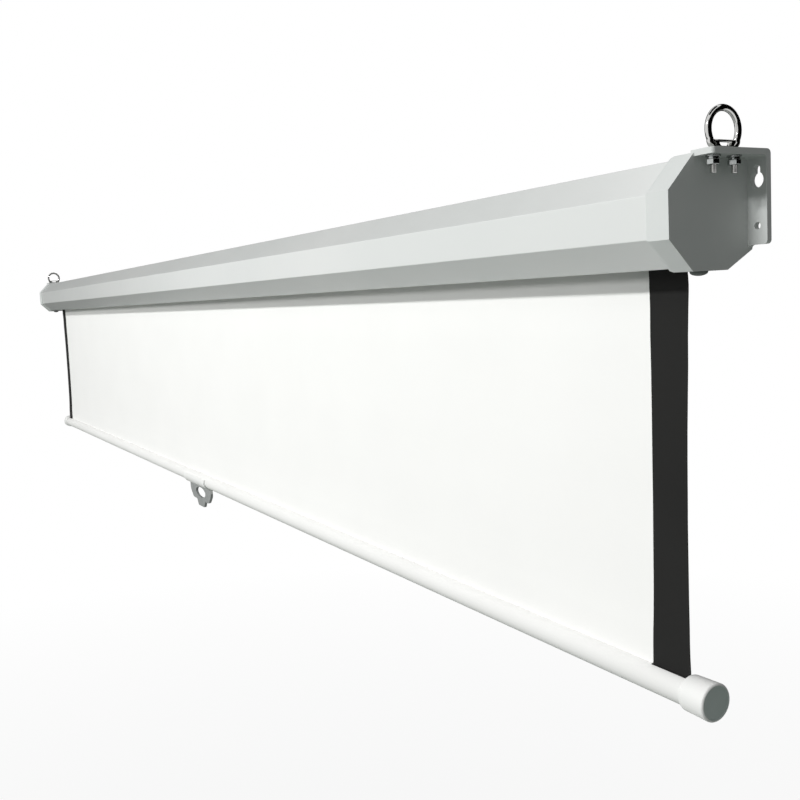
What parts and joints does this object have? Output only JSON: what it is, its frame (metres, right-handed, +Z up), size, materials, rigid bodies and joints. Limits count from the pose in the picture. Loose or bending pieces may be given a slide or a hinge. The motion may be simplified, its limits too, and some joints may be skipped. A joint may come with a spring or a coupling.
{
  "type": "pull down projection screen",
  "caption": "Wall or ceiling projection screen that pulls down: an octagonal case with end caps and hanger rings, a spring roller with a ratchet lock, and fabric on a weighted bar.",
  "frame": {"origin": "middle of the case's back, on the wall plane, at the height of the roller's axis", "axes": "+X along the case towards the idle end, +Y out of the back into the wall, +Z up; the screen faces -Y"},
  "size_m": [2.23, 0.072, 0.4314],
  "materials": {
    "case_paint": "smooth light grey baked paint, satin",
    "end_cap_moulding": "light grey moulding, satin",
    "chrome_plate": "bright plating",
    "zinc_plate": "zinc plated",
    "black_rubber": "matt moulded rubber",
    "bare_steel": "drawn or stamped, lightly oiled",
    "spring_steel": "dark drawn wire",
    "nylon": "natural moulded nylon",
    "screen_white": "matt white coated projection fabric",
    "border_black": "matt black coated border",
    "bar_paint": "white paint",
    "white_plastic": "white moulding, satin to gloss",
    "grey_plastic": "mid grey moulding, satin"
  },
  "bodies": {
    "case": {"case_shell": "case_paint", "end_cap_left": "end_cap_moulding", "end_cap_right": "end_cap_moulding", "hanger_bolt_left": "chrome_plate", "hanger_bolt_right": "chrome_plate", "hanger_crossbar_left": "chrome_plate", "hanger_crossbar_right": "chrome_plate", "hanger_washer_left_front": "zinc_plate", "hanger_washer_left_rear": "zinc_plate", "hanger_washer_right_front": "zinc_plate", "hanger_washer_right_rear": "zinc_plate", "hanger_lock_washer_left_front": "zinc_plate", "hanger_lock_washer_left_rear": "zinc_plate", "hanger_lock_washer_right_front": "zinc_plate", "hanger_lock_washer_right_rear": "zinc_plate", "hanger_nut_left_front": "zinc_plate", "hanger_nut_left_rear": "zinc_plate", "hanger_nut_right_front": "zinc_plate", "hanger_nut_right_rear": "zinc_plate", "bumper_left": "black_rubber", "bumper_right": "black_rubber", "pin_bush": "nylon", "spindle_holder": "bare_steel", "spring_spindle": "bare_steel", "spring_anchor": "bare_steel", "ratchet_wheel": "bare_steel"},
    "roller": {"roller_tube": "bare_steel", "fabric_roll": "screen_white", "idle_plug": "nylon", "gudgeon_pin": "bare_steel", "spring_plug": "nylon", "torsion_spring": "spring_steel", "pawl_pin_a": "bare_steel", "pawl_pin_b": "bare_steel"},
    "lock_pawl_a": {"lock_pawl_a": "bare_steel"},
    "lock_pawl_b": {"lock_pawl_b": "bare_steel"},
    "bottom_bar": {"screen_fabric": "screen_white", "side_border_left": "border_black", "side_border_right": "border_black", "weight_tube": "bar_paint", "bar_cap_left": "white_plastic", "bar_cap_right": "white_plastic", "pull_handle": "grey_plastic"}
  },
  "joints": [
    {"name": "screen_drop", "type": "slide", "parent": "case", "child": "bottom_bar", "axis": [0, 0, -1], "range_m": [-0.26857, 1.26611], "deforming": ["screen_fabric", "side_border_left", "side_border_right"]},
    {"name": "roller_turn", "type": "hinge", "parent": "case", "child": "roller", "pos_m": [0, -0.04633, 0], "axis": [1, 0, 0], "range_deg": [-3960.2, 840.2]},
    {"name": "lock_pawl_a_swing", "type": "hinge", "parent": "roller", "child": "lock_pawl_a", "pos_m": [-1.0756, -0.0453, 0.01316], "axis": [1, 0, 0], "range_deg": [0, 18]},
    {"name": "lock_pawl_b_swing", "type": "hinge", "parent": "roller", "child": "lock_pawl_b", "pos_m": [-1.0756, -0.04735, -0.01316], "axis": [1, 0, 0], "range_deg": [0, 18]}
  ],
  "couplings": [
    {"joint": "roller_turn", "follows": "screen_drop", "rad_per_m": -54.589}
  ]
}
